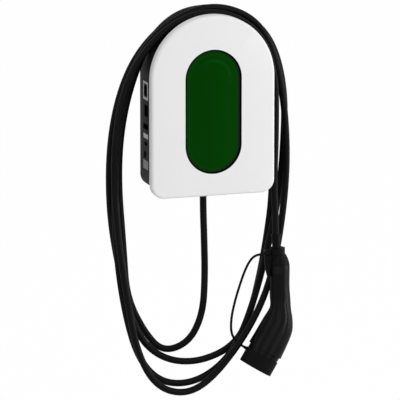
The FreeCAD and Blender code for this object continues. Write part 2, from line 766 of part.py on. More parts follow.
def make_gland_nut():
    """Clamping nut with a rounded mouth, under the gland's flange."""
    low = BASE_BOTTOM_Z - GLAND_FLANGE - GLAND_NUT_LENGTH
    hex_part = hexagon(GLAND_HEX, 0, Y_ENTRY, low + 6, GLAND_NUT_LENGTH - 6)
    dome = Part.makeCone(GLAND_THREAD_R - 1.0, GLAND_HEX / 2 - 0.4, 6, Vector(0, Y_ENTRY, low), UP)
    nut = hex_part.fuse(dome).removeSplitter()
    return nut.cut(gland_bore(low - 1, GLAND_NUT_LENGTH + 2))


def make_gland_locknut():
    z = BASE_BOTTOM_Z + BASE_WALL
    nut = hexagon(GLAND_HEX, 0, Y_ENTRY, z, LOCKNUT_LENGTH)
    return nut.cut(rod(GLAND_THREAD_R + FIT / 2, (0, Y_ENTRY, z - 1), UP, LOCKNUT_LENGTH + 2))


def make_supply_grommet():
    low = BASE_BOTTOM_Z - GROMMET_FLANGE
    height = BASE_WALL + 2 * GROMMET_FLANGE
    start = (SUPPLY_ENTRY_X, Y_ENTRY, low)
    inner_low = BASE_BOTTOM_Z + BASE_WALL
    body = rod(GROMMET_HOLE_R - FIT / 2, start, UP, height)
    outer = rod(GROMMET_FLANGE_R, start, UP, GROMMET_FLANGE)
    inner = rod(GROMMET_FLANGE_R, (SUPPLY_ENTRY_X, Y_ENTRY, inner_low), UP, GROMMET_FLANGE)
    body = fuse_all([body, outer, inner])
    return body.cut(rod(GROMMET_BORE_R, (SUPPLY_ENTRY_X, Y_ENTRY, low - 1), UP, height + 2))


# Cable and strap

def route_tube(points, diameter, name):
    """Tube along straight runs joined by tangent arcs; prints its tightest arc and its length."""
    corners = [Vector(*point) for point in points]
    edges = []
    radii = []
    last = corners[0]
    length = 0.0
    for index in range(1, len(corners) - 1):
        before = corners[index - 1] - corners[index]
        after = corners[index + 1] - corners[index]
        short = min(before.Length, after.Length)
        turn = math.pi - before.getAngle(after)
        tangent = 0.45 * short
        radius = tangent / math.tan(turn / 2)
        before.normalize()
        after.normalize()
        start = corners[index] + before * tangent
        end = corners[index] + after * tangent
        bisector = before + after
        bisector.normalize()
        middle = corners[index] + bisector * (radius / math.cos(turn / 2) - radius)
        edges.append(Part.LineSegment(last, start).toShape())
        edges.append(Part.Arc(start, middle, end).toShape())
        length += (start - last).Length + radius * turn
        radii.append(radius)
        last = end
    edges.append(Part.LineSegment(last, corners[-1]).toShape())
    length += (corners[-1] - last).Length
    first = corners[1] - corners[0]
    circle = Part.Circle(corners[0], first, diameter / 2).toShape()
    tube = Part.Wire(edges).makePipeShell([Part.Wire(circle)], True, False)
    expected = math.pi * diameter ** 2 / 4 * length
    print(name, "points", len(corners), "length", round(length), "mm")
    print(name, "radii", [round(r) for r in radii])
    print(name, "volume over section times length", round(tube.Volume / expected, 5), tube.isValid())
    return tube


def make_cable_cores():
    cable_end = CABLE_ROUTE[0]
    z_terminal = POWER_BOTTOM_Z + 2
    y_terminal = Y_BOARD_FRONT - TERMINAL_DEPTH + 9
    cores = []
    for pole in range(POLE_COUNT):
        turn = math.radians(CORE_TURNS[pole])
        x = cable_end[0] + CORE_CIRCLE_R * math.cos(turn)
        y = cable_end[1] + CORE_CIRCLE_R * math.sin(turn)
        x_pole = TERMINAL_GAP / 2 + POLE_PITCH * (pole + 0.5)
        z_cross = cable_end[2] + CORE_CROSS_LOW + CORE_CROSS_STEP * (POLE_COUNT - 1 - pole)
        route = [
            (x, y, cable_end[2]),
            (x, y, z_cross),
            (x_pole, y_terminal, z_cross + 2),
            (x_pole, y_terminal, z_terminal + 9),
        ]
        cores.append(route_tube(route, CORE_D, "core"))
    return Part.makeCompound(cores)


# Connector

def nose_direction():
    turn = math.radians(NOSE_TILT)
    return Vector(-math.sin(turn), 0, -math.cos(turn))


def nose_point(along, across=0.0, up=0.0):
    """Point on the nose: along its axis from the shroud's end, across in Y, and up its face."""
    turn = math.radians(NOSE_TILT)
    x = SHROUD_X - along * math.sin(turn) - up * math.cos(turn)
    z = SHROUD_Z - along * math.cos(turn) + up * math.sin(turn)
    return (x, CONNECTOR_Y + across, z)


def nose_rod(r, start, end, across=0.0, up=0.0):
    return rod(r, nose_point(start, across, up), nose_direction(), end - start)


def flute_height(degrees):
    """Height of the flutes round a section, the same in front and behind: 1 on a ridge, -1 in a groove."""
    turn = abs(degrees)
    rise = min(1.0, max(0.0, (turn - FLUTE_FIRST) / FLUTE_FADE))
    fall = min(1.0, max(0.0, (FLUTE_LAST - turn) / FLUTE_FADE))
    return rise * fall * math.cos(2 * math.pi * (turn - FLUTE_RIDGE) / FLUTE_PITCH)


def section_wire(section, inset, count):
    """Closed smooth section of the handle, square to its centre line."""
    x, z, tilt, half_width, half_depth, roundness, flute = section
    turn = math.radians(tilt)
    points = []
    for index in range(count):
        degrees = 90.0 + 360.0 * index / count
        if degrees > 180.0:
            degrees -= 360.0
        c = math.cos(math.radians(degrees))
        s = math.sin(math.radians(degrees))
        swell = 0.0 if inset > 0 else flute * flute_height(degrees)
        across = (half_width - inset + swell) * math.copysign(abs(c) ** (2 / roundness), c)
        deep = (half_depth - inset + swell) * math.copysign(abs(s) ** (2 / SIDE_ROUNDNESS), s)
        points.append(Vector(x + across * math.cos(turn), CONNECTOR_Y + deep, z - across * math.sin(turn)))
    curve = Part.BSplineCurve()
    curve.interpolate(Points=points, PeriodicFlag=True)
    return Part.Wire(curve.toShape())


def eased_sections(first):
    """Sections of the handle from the first on, with smoothly changing ones put between them."""
    table = HANDLE_SECTIONS
    along = [0.0]
    for before, after in zip(table[:-1], table[1:]):
        along.append(along[-1] + math.hypot(after[0] - before[0], after[1] - before[1]))
    last = len(table) - 1
    sections = []
    for index in range(first, last):
        run = along[index + 1] - along[index]
        for step in range(SECTION_STEP_COUNT):
            t = step / SECTION_STEP_COUNT
            values = []
            for column in range(len(table[0])):
                slopes = []
                for at in (index, index + 1):
                    low = max(0, at - 1)
                    high = min(last, at + 1)
                    change = table[high][column] - table[low][column]
                    slopes.append(change / (along[high] - along[low]) * run)
                start = (2 * t ** 3 - 3 * t ** 2 + 1) * table[index][column]
                end = (3 * t ** 2 - 2 * t ** 3) * table[index + 1][column]
                lean = (t ** 3 - 2 * t ** 2 + t) * slopes[0] + (t ** 3 - t ** 2) * slopes[1]
                values.append(start + end + lean)
            sections.append(values)
    sections.append(list(table[last]))
    return sections


def handle_loft(inset, first, count):
    wires = [section_wire(section, inset, count) for section in eased_sections(first)]
    return Part.makeLoft(wires, True, True)


def make_handle():
    body = handle_loft(0, 0, OUTER_POINT_COUNT)
    neck_low = HANDLE_SECTIONS[0][1] - 2
    neck = rod(COLLAR_R - COLLAR_WALL - FIT, (HANDLE_X, CONNECTOR_Y, neck_low), UP, HANDLE_TOP_Z - neck_low)
    body = body.fuse(neck)
    hollow = handle_loft(SHELL_WALL, 2, INNER_POINT_COUNT)
    body = body.cut(hollow)
    entry = (SLEEVE_X, CONNECTOR_Y, HANDLE_SECTIONS[3][1])
    body = body.cut(rod(CABLE_D / 2 + FIT, entry, UP, HANDLE_TOP_Z - HANDLE_SECTIONS[3][1] + 1))
    return body.cut(nose_rod(NECK_R + FIT, -NECK_SEAT, 1))


def shell_bosses():
    """Screw pillars inside the handle, between its two halves."""
    pillars = []
    for x, z in SHELL_SCREWS:
        pillars.append(rod(SHELL_HEAD_R + 1.2, (x, CONNECTOR_Y - 30, z), -OUT, 60))
    return pillars


def make_handle_halves():
    body = make_handle()
    solid = handle_loft(1.2, 0, INNER_POINT_COUNT)
    parts = [body]
    for pillar in shell_bosses():
        parts.append(pillar.common(solid))
    body = fuse_all(parts)
    reach = 400
    front_half = box(-reach, reach, CONNECTOR_Y - 100, CONNECTOR_Y, -2 * reach, 0)
    rear_half = box(-reach, reach, CONNECTOR_Y, CONNECTOR_Y + 100, -2 * reach, 0)
    front = body.common(front_half)
    rear = body.common(rear_half)
    for x, z in SHELL_SCREWS:
        y_seat = CONNECTOR_Y + SHELL_SCREW_LENGTH / 2
        rear = rear.cut(rod(SHELL_SCREW_R + FIT, (x, CONNECTOR_Y - 1, z), -OUT, 60))
        rear = rear.cut(rod(SHELL_HEAD_R + FIT, (x, y_seat, z), -OUT, 60))
        pilot = rod(SHELL_SCREW_R + FIT / 2, (x, CONNECTOR_Y + 1, z), OUT, SHELL_SCREW_LENGTH / 2 + 1)
        front = front.cut(pilot)
    return front, rear


def make_handle_screws():
    screws = []
    for x, z in SHELL_SCREWS:
        start = (x, CONNECTOR_Y + SHELL_SCREW_LENGTH / 2, z)
        screws.append(
            pan_screw(SHELL_SCREW_R, SHELL_HEAD_R, SHELL_HEAD_HEIGHT, SHELL_SCREW_LENGTH - 1, start, OUT)
        )
    return Part.makeCompound(screws)


def make_cable_sleeve():
    """Rubber sleeve on the cable, with a thicker ring at its top."""
    low = HANDLE_TOP_Z + FIT
    high = low + SLEEVE_LENGTH
    r_in = CABLE_D / 2 + FIT
    outline = [
        (r_in, low),
        (SLEEVE_TAIL_R, low),
        (SLEEVE_TAIL_R, low + 5),
        (SLEEVE_R, low + 13),
        (SLEEVE_R, high - 6),
        (SLEEVE_R + SLEEVE_RING, high - 5),
        (SLEEVE_R + SLEEVE_RING, high - 2),
        (SLEEVE_R - 0.8, high),
        (r_in, high),
        (r_in, low),
    ]
    face = Part.Face(Part.makePolygon([Vector(r, 0, z) for r, z in outline]))
    body = face.revolve(Vector(0, 0, 0), UP, 360)
    body.translate(Vector(SLEEVE_X, CONNECTOR_Y, 0))
    return body


def make_strap_collar():
    """Ring round the handle's neck, with a tab and a clip that hold the cap's strap."""
    low = HANDLE_TOP_Z - COLLAR_HEIGHT
    start = (HANDLE_X, CONNECTOR_Y, low)
    half = COLLAR_TAB_THICKNESS / 2
    left = HANDLE_X - COLLAR_TAB
    y0 = CONNECTOR_Y - half
    y1 = CONNECTOR_Y + half
    band = rod(COLLAR_R, start, UP, COLLAR_HEIGHT)
    tab = box(left, HANDLE_X, y0, y1, low, HANDLE_TOP_Z - 2)
    clip = box(left, left + COLLAR_CLIP, y0, y1, low - COLLAR_CLIP_DROP, HANDLE_TOP_Z - 2)
    lug = rod(STRAP_LUG_R, (left, CONNECTOR_Y, STRAP_ROUTE[0][2]), Vector(-1, 0, 0), STRAP_LUG_LENGTH)
    body = fuse_all([band, tab, clip, lug])
    return body.cut(rod(COLLAR_R - COLLAR_WALL, (HANDLE_X, CONNECTOR_Y, low - 1), UP, COLLAR_HEIGHT + 2))


def make_nose_body():
    neck = nose_rod(NECK_R, -NECK_SEAT, NECK_LENGTH)
    nose_end = NECK_LENGTH + NOSE_LENGTH
    nose = nose_rod(NOSE_R, NECK_LENGTH, nose_end)
    flat_block = box(-60, 60, NOSE_FLAT, 60, NECK_LENGTH + 1, nose_end + 1)
    up = Vector(*nose_point(0, 0, 1)) - Vector(*nose_point(0))
    turned = FreeCAD.Rotation(Vector(0, 1, 0), up, nose_direction(), "YZX")
    place = FreeCAD.Placement(Vector(*nose_point(0)), turned)
    flat_block.Placement = place
    body = neck.fuse(nose).removeSplitter().cut(flat_block)
    recess = nose_rod(NOSE_R - NOSE_RIM, nose_end - NOSE_RECESS, nose_end + 1)
    recess_flat = box(-60, 60, NOSE_FLAT - NOSE_RIM, 60, nose_end - NOSE_RECESS - 1, nose_end + 2)
    recess_flat.Placement = place
    body = body.cut(recess.cut(recess_flat))
    for across, up, r in CONTACTS:
        tube = nose_rod(r + CONTACT_TUBE_WALL, nose_end - NOSE_RECESS - 1, nose_end - 1, across, up)
        body = body.fuse(tube)
    for across, up, r in CONTACTS:
        body = body.cut(nose_rod(r + CONTACT_FIT, nose_end - 1 - CONTACT_LENGTH, nose_end, across, up))
    return body.removeSplitter()


def make_contact_sleeves():
    end = NECK_LENGTH + NOSE_LENGTH - 2
    start = NECK_LENGTH + NOSE_LENGTH - 1 - CONTACT_LENGTH
    sleeves = []
    for across, up, r in CONTACTS:
        outer = nose_rod(r, start, end, across, up)
        sleeves.append(outer.cut(nose_rod(r - CONTACT_WALL, start + 4, end + 1, across, up)))
    return Part.makeCompound(sleeves)


def make_protective_cap():
    start = NECK_LENGTH + FIT
    end = start + CAP_LENGTH
    body = nose_rod(CAP_R, start, end)
    body = body.cut(nose_rod(NOSE_R + CAP_FIT, start - 1, end - CAP_END))
    root = CAP_R - CAP_END
    turn = math.radians(CAP_LUG_TURN)
    base = Vector(*nose_point(start + CAP_LUG_ALONG, root * math.sin(turn), root * math.cos(turn)))
    outward = base - Vector(*nose_point(start + CAP_LUG_ALONG))
    outward.normalize()
    lug = Part.makeCylinder(CAP_LUG_R, CAP_END + CAP_LUG_LENGTH, base, outward)
    return body.fuse(lug).removeSplitter()


def main():
    os.makedirs("parts", exist_ok=True)
    front_shell, rear_shell = make_handle_halves()
    parts = {
        "rear_housing": make_rear_housing(),
        "front_cover": make_front_cover(),
        "cover_gasket": make_cover_gasket(),
        "window_bezel": make_window_bezel(),
        "window_lens": make_window_lens(),
        "light_guide": make_light_guide(),
        "light_board": make_light_board(),
        "status_lights": make_status_lights(),
        "card_reader": make_card_reader(),
        "cover_screws": make_cover_screws(),
        "board_screws": make_board_screws(),
        "power_board": make_power_board(),
        "control_board": make_control_board(),
        "supply_terminals": terminal_block(-TERMINAL_GAP / 2 - POLE_PITCH * POLE_COUNT),
        "cable_terminals": terminal_block(TERMINAL_GAP / 2),
        "charging_relays": make_charging_relays(),
        "leakage_sensor": make_leakage_sensor(),
        "supply_module": make_supply_module(),
        "capacitors": make_capacitors(),
        "radio_module": make_radio_module(),
        "board_chips": make_board_chips(),
        "gland_body": make_gland_body(),
        "gland_nut": make_gland_nut(),
        "gland_locknut": make_gland_locknut(),
        "supply_grommet": make_supply_grommet(),
        "charging_cable": route_tube(CABLE_ROUTE, CABLE_D, "charging_cable"),
        "cable_cores": make_cable_cores(),
        "cable_sleeve": make_cable_sleeve(),
        "strap_collar": make_strap_collar(),
        "cap_strap": route_tube(STRAP_ROUTE, STRAP_D, "cap_strap"),
        "handle_front_shell": front_shell,
        "handle_rear_shell": rear_shell,
        "handle_screws": make_handle_screws(),
        "nose_body": make_nose_body(),
        "contact_sleeves": make_contact_sleeves(),
        "protective_cap": make_protective_cap(),
    }
    for name, shape in parts.items():
        shape.exportStep("parts/" + name + ".step")
        print(name, len(shape.Solids), shape.isValid(), round(shape.Volume))


main()
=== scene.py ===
import math

import bmesh
import bpy
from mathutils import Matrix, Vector


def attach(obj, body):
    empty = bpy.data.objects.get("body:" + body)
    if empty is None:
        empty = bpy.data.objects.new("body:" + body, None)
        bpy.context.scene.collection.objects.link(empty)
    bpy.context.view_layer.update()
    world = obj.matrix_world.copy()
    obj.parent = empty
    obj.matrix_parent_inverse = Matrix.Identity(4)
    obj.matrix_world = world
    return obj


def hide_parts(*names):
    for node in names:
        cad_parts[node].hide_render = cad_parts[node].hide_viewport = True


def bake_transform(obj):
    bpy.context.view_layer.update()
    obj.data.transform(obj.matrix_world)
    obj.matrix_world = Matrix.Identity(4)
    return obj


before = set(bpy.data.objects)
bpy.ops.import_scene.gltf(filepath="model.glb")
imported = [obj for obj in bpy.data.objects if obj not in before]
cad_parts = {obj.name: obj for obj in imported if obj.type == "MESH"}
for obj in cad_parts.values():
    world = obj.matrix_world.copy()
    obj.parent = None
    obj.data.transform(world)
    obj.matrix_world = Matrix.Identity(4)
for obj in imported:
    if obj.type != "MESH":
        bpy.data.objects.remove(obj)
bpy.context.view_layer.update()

MM = 0.001

# CAD nodes: the weld's reach in metres, and the angle from which an edge stays hard
WELD_REACH = 0.00001
HARD_EDGE_DEGREES = 32

# Sockets of a Mix node that mixes colours: the two inputs and the output
MIX_FIRST = 6
MIX_SECOND = 7
MIX_RESULT = 2

# Diameters of the cords as the photograph shows them, in millimetres
CABLE_DIAMETER = 13.2
STRAP_DIAMETER = 4.8

# Sizes that match those of the part, in millimetres
BASE_SIDE_X = -115.0
WINDOW_CENTRE_Z = -11.5
WINDOW_HALF_STRAIGHT = 64.0
LENS_RADIUS = 53.5
COVER_OPENING_RADIUS = 55.5
CONNECTOR_Y = -75.0
GRIP_LEFT_X = 127.5

# Camera: where it stands, the point it looks at, its lens and its sensor
CAMERA_PLACE = (-2.7307, -8.5062, 1.7065)
CAMERA_TARGET = (-0.0351, -0.1262, -0.1755)
CAMERA_LENS = 425.9
CAMERA_SENSOR = 36.0

# Lights: place, the point each shines at, its width in metres and its power in watts
LIGHTS = [
    ("front_key", (1.3, -3.4, 1.5), (0, -0.1, -0.1), 1.6, 41.0),
    ("right_fill", (3.2, -1.1, -0.35), (0.05, -0.08, -0.3), 1.2, 56.0),
    ("left_fill", (-3.2, -0.6, 0.8), (0, -0.08, -0.1), 1.6, 9.5),
]
WORLD_LIGHT = 0.61

# Floor: its height, its radius and the share of plain white that the camera sees
FLOOR_Z = -0.75
FLOOR_RADIUS = 14.0
FLOOR_WHITENESS = 0.985

# Route of the charging cable, from inside the gland to the connector
EXIT_FALL = [(0, -36, -150), (0, -36, -205), (2, -36, -265), (4, -36, -347), (-1, -37, -422)]
FIRST_BOTTOM = [(-28, -33, -477), (-77, -21, -495), (-112, -11, -454)]
FIRST_RISE = [(-148, -15, -380), (-154, -16, -288), (-168, -22, -127), (-153, -25, 2)]
FIRST_ARCH = [(-110, -26, 115), (-54, -26, 169), (16, -26, 180), (80, -26, 153), (124, -26, 87)]
FIRST_FALL = [(130, -25, -21), (149, -23, -169), (132, -15, -315), (103, -17, -435)]
SECOND_BOTTOM = [(68, -22, -494), (-9, -27, -520), (-81, -28, -507), (-133, -29, -455)]
SECOND_RISE = [(-165, -35, -345), (-191, -39, -201), (-187, -40, -45)]
SECOND_ARCH = [(-149, -40, 79), (-78, -40, 156), (-2, -40, 185), (76, -40, 166), (136, -40, 117)]
SECOND_FALL = [(165, -40, 14), (161, -40, -114), (153.7, -36, -198), (136, -31, -290), (102, -31, -417)]
THIRD_BOTTOM = [(58, -39, -507), (-10, -42, -554), (-81, -42, -554), (-130, -43, -506)]
THIRD_RISE = [(-159, -46, -416), (-180, -51, -284), (-184, -54, -130), (-169, -54, 15)]
THIRD_ARCH = [(-124, -54, 117), (-50, -54, 172), (25, -54, 187), (101, -54, 155), (140, -54, 85)]
THIRD_FALL = [(162, -54, -35), (164, -54, -175), (142, -44, -344), (94, -57, -445)]
FOURTH_BOTTOM = [(16, -67, -538), (-41, -63, -573), (-103, -63, -553), (-141, -62, -483)]
FOURTH_RISE = [(-161, -62, -378), (-183, -66, -233), (-190, -68, -81), (-166, -68, 52)]
FOURTH_ARCH = [(-105, -68, 134), (-33, -68, 175), (41, -68, 173), (105, -68, 131), (136, -68, 51)]
CONNECTOR_FALL = [(134.5, -74, -67), (131, -73, -168), (135, -75, -240), (135, -75, -310)]
CABLE_ROUTE = (
    EXIT_FALL + FIRST_BOTTOM + FIRST_RISE + FIRST_ARCH + FIRST_FALL
    + SECOND_BOTTOM + SECOND_RISE + SECOND_ARCH + SECOND_FALL
    + THIRD_BOTTOM + THIRD_RISE + THIRD_ARCH + THIRD_FALL
    + FOURTH_BOTTOM + FOURTH_RISE + FOURTH_ARCH + CONNECTOR_FALL
)

# Route of the cap's strap
STRAP_ROUTE = [
    (107.8, -75.0, -302.0),
    (95.0, -75.0, -302.0),
    (84.0, -71.0, -313.0),
    (75.0, -67.0, -333.0),
    (66.0, -63.0, -362.0),
    (57.0, -58.0, -397.0),
    (51.0, -54.0, -432.0),
    (53.0, -49.0, -463.0),
    (67.9, -46.2, -482.6),
    (78.6, -54.4, -489.1),
]

# Soft tab that hangs from the collar's clip: x and z of its outline, its front and rear y, its round edge
COLLAR_TAB_OUTLINE = [
    (112.5, -303.0), (126.5, -303.0), (126.5, -318.0), (123.8, -334.0), (122.2, -346.5),
    (119.6, -349.5), (117.4, -345.8), (115.6, -338.8), (113.8, -332.0), (112.7, -318.0),
]
COLLAR_TAB_FRONT_Y = -78.5
COLLAR_TAB_REAR_Y = -71.5
COLLAR_TAB_ROUNDING = 1.2

# Swelling on the grip's left side: height, and how far it stands proud there
GRIP_SWELL = [
    (-306.0, 0.0), (-310.0, 1.0), (-315.0, 2.6), (-321.0, 3.7), (-328.0, 4.0),
    (-340.0, 4.0), (-352.0, 4.0), (-364.0, 4.0), (-374.0, 4.0), (-384.0, 3.9),
    (-392.0, 3.6), (-399.0, 2.9), (-406.0, 1.6), (-412.0, 0.0),
]
# Its cross-section is half an oval round a line inside the grip
SWELL_CENTRE_X = GRIP_LEFT_X + 8.0
SWELL_SUNK_REACH = 7.2
SWELL_GAIN = 1.2
SWELL_HALF_DEPTH = 13.6
SWELL_STEPS = 16

# Label plates: the gap between them and the housing, and their round corners
LABEL_GAP = 0.02
LABEL_CORNER = 1.6
LABEL_CORNER_STEPS = 5

# Window: border and ring, in from the lens's edge, and the arc, out from the centre line
BORDER_INSET = (5.2, 3.4)
RING_INSET = (10.0, 7.0)
ARC_BAND = (30.0, 33.5, 35.0, 38.5)
# Where the arc shows, as a sum of x and z and as a height, and where painted light makes the green paler
ARC_CORNER = (45.0, 95.0)
ARC_FROM_Z = (30.0, 60.0)
PAINTED_LIGHT_FROM_X = (-20.0, 50.0)

# Line of shadow round the bezel, out from the cover's opening
SHADOW_BAND = (0.9, 0.6)

# Marks on the grip: the seam, the boot above it, and the panel below it with its ribs in radians per metre
GRIP_SEAM_Z = -325.0
SEAM_BAND = (0.8, 0.3)
BOOT_FADE = 0.5
PANEL_X = (126.5, 128.5, 142.0, 144.0)
PANEL_FOOT_Z = (-340.0, -339.0)
PANEL_RIB_RATE = 1250.0

# Painted highlights and shade that stand for flutes on the grip, and painted shade on its left flank: their
# axis leans below a height, and turns round it are in radians
FLUTE_AXIS_X = 146.0
FLUTE_AXIS_LEANS_Z = -432.0
FLUTE_AXIS_LEAN = 0.55
GRIP_FLATNESS = 0.89
FLUTE_TOP_Z = (-392.0, -414.0)
FLUTED_TURN = (1.08, 1.33, 2.55, 2.75)
FLUTE_PHASE = 1.536
FLUTE_RATE = 12.632
SHADED_FLANK_TURN = (2.90, 2.45)

# Painted shade on the upper part of a finish, where the cable's laps shade it: its share of the colour, and
# over how many metres of height it fades in
PAINTED_SHADE_SHARE = 0.22
PAINTED_SHADE_FADE = 0.022

# Colours in linear light; a pair is the two that a noise or a wave mixes
COVER_WHITES = (0.765, 0.765, 0.767, 1), (0.787, 0.787, 0.785, 1)
BEZEL_SHADOW = (0.0003, 0.0030, 0.0003, 1)
WINDOW_GREENS = (0.0003, 0.0355, 0.0002, 1), (0.0008, 0.0400, 0.0006, 1)
# Painted light on the window's right part
WINDOW_PAINTED_LIGHT = (0.0008, 0.0445, 0.0007, 1)
WINDOW_RING = (0.0012, 0.0455, 0.0010, 1)
WINDOW_ARC = (0.0024, 0.0520, 0.0032, 1)
WINDOW_BORDER = (0.0056, 0.0290, 0.0056, 1)
GRIP_BLACKS = (0.0040, 0.0040, 0.0042, 1), (0.0050, 0.0050, 0.0052, 1)
# Painted shade in the flutes' hollows and painted highlight on their ridges
FLUTE_PAINTED_LIGHT_AND_SHADE = (0.0026, 0.0026, 0.0027, 1), (0.0092, 0.0092, 0.0095, 1)
# Painted shade on the grip's left flank, which faces away from the lights
FLANK_PAINTED_SHADE = (0.0009, 0.0009, 0.0009, 1)
PANEL_BLACK = (0.0095, 0.0095, 0.0098, 1)
BOOT_BLACK = (0.0030, 0.0030, 0.0031, 1)
SEAM_BLACK = (0.0008, 0.0008, 0.0008, 1)
CABLE_BLACKS = (0.0022, 0.0022, 0.0023, 1), (0.0048, 0.0048, 0.0050, 1)
LAMINATE_GREENS = (0.008, 0.070, 0.026, 1), (0.014, 0.100, 0.040, 1)
TRACK_GREEN = (0.030, 0.190, 0.080, 1)
FROSTED_WHITES = (0.62, 0.63, 0.60, 1), (0.78, 0.78, 0.74, 1)
FLOOR_WHITES = (0.86, 0.86, 0.86, 1), (0.90, 0.90, 0.90, 1)
PLAIN_WHITE = (1, 1, 1, 1)


# Shader maths

class Wire:
    """An output socket that takes part in arithmetic: each operation adds one Math node."""

    def __init__(self, graph, socket):
        self.graph = graph
        self.socket = socket

    def __add__(self, other):
        return self.graph.math("ADD", self, other)

    def __sub__(self, other):
        return self.graph.math("SUBTRACT", self, other)

    def __rsub__(self, other):
        return self.graph.math("SUBTRACT", other, self)

    def __mul__(self, other):
        return self.graph.math("MULTIPLY", self, other)

    def __pow__(self, other):
        return self.graph.math("POWER", self, other)

    def __abs__(self):
        return self.graph.math("ABSOLUTE", self)


class Finish:
    """One material and the nodes of its finish."""

    def __init__(self, name):
        self.material = bpy.data.materials.new(name)
        self.material.use_nodes = True
        self.tree = self.material.node_tree
        self.tree.nodes.clear()

    def node(self, kind, settings=None, values=None, output=0):
        """Adds a node: its settings first, then its sockets' values or links."""
        node = self.tree.nodes.new(kind)
        for key, value in (settings or {}).items():
            setattr(node, key, value)
        for key, value in (values or {}).items():
            self.feed(node.inputs[key], value)
        return Wire(self, node.outputs[output])

    def feed(self, socket, value):
        """Links a wire to a socket, or sets the socket's own value."""
        if isinstance(value, Wire):
            self.tree.links.new(value.socket, socket)
        else:
            socket.default_value = value

    def math(self, operation, *terms):
        return self.node("ShaderNodeMath", {"operation": operation}, dict(enumerate(terms)))

    def between(self, value, zero, one):
        """Goes smoothly from 0 at one bound to 1 at the other, whichever of them is higher."""
        values = {"Value": value, "From Min": zero, "From Max": one}
        return self.node("ShaderNodeMapRange", {"interpolation_type": "SMOOTHSTEP"}, values)

    def within(self, value, start, full, last, end):
        """Is 1 from full to last, and fades to 0 at start and at end."""
        return self.between(value, start, full) * self.between(value, end, last)

    def uneven(self, level, *swings):
        """A level that swings with some noises, each by its own amount."""
        for noise, amount in swings:
            level = (noise - 0.5) * amount + level
        return level

    def blend(self, first, second, share):
        """Mixes two colours."""
        values = {0: share, MIX_FIRST: first, MIX_SECOND: second}
        return self.node("ShaderNodeMix", {"data_type": "RGBA"}, values, output=MIX_RESULT)

    def place(self, scale=(1, 1, 1)):
        """The piece's own coordinates, stretched where asked."""
        values = {"Vector": self.node("ShaderNodeTexCoord", output="Object"), "Scale": scale}
        return self.node("ShaderNodeMapping", {"vector_type": "TEXTURE"}, values)

    def noise(self, place, scale, detail=2.0, roughness=0.5):
        values = {"Vector": place, "Scale": scale, "Detail": detail, "Roughness": roughness}
        return self.node("ShaderNodeTexNoise", None, values, output="Fac")

    def parts_of(self, place):
        """The three parts of a vector."""
        node = self.tree.nodes.new("ShaderNodeSeparateXYZ")
        self.feed(node.inputs[0], place)
        return [Wire(self, output) for output in node.outputs]

    def bump(self, height, distance, strength=1.0):
        values = {"Height": height, "Distance": distance, "Strength": strength}
        return self.node("ShaderNodeBump", None, values)

    def surface(self, values):
        """Ends the finish with its shader, and gives the material."""
        self.output(self.node("ShaderNodeBsdfPrincipled", None, values))
        return self.material

    def output(self, shader):
        end = self.tree.nodes.new("ShaderNodeOutputMaterial")
        self.tree.links.new(shader.socket, end.inputs["Surface"])


def tint(colour, factor):
    return tuple(min(1.0, part * factor) for part in colour) + (1.0,)


def scaled(lengths, start=0.0):
    """Lengths in millimetres, counted from a start, as metres."""
    return [(start + length) * MM for length in lengths]


# Finishes

def moulded(
    name, colour, roughness, grain=700.0, depth=0.00003, mottle=0.05, gloss=0.5, painted_shade_from=None,
):
    """Moulded plastic or rubber: fine grain, faint flow marks, and painted shade above a height where asked.
    """
    f = Finish(name)
    place = f.place()
    fine = f.noise(place, grain)
    broad = f.noise(place, 14.0, 3.0)
    flow = f.noise(f.place(scale=(1.0, 1.0, 4.0)), 30.0, 3.0)
    shade = f.blend(tint(colour, 1 - mottle), tint(colour, 1 + mottle), broad * 0.6 + flow * 0.4)
    # Painted shade: darker above the given height, where the cable's laps shade the housing
    if painted_shade_from is not None:
        _, _, z = f.parts_of(place)
        upper = f.between(z, painted_shade_from, painted_shade_from + PAINTED_SHADE_FADE)
        shade = f.blend(shade, tint(colour, PAINTED_SHADE_SHARE), upper)
    return f.surface({
        "Base Color": shade,
        "Roughness": f.uneven(roughness, (fine, 0.12), (broad, 0.10)),
        "Specular IOR Level": gloss,
        "Normal": f.bump(fine, depth),
    })


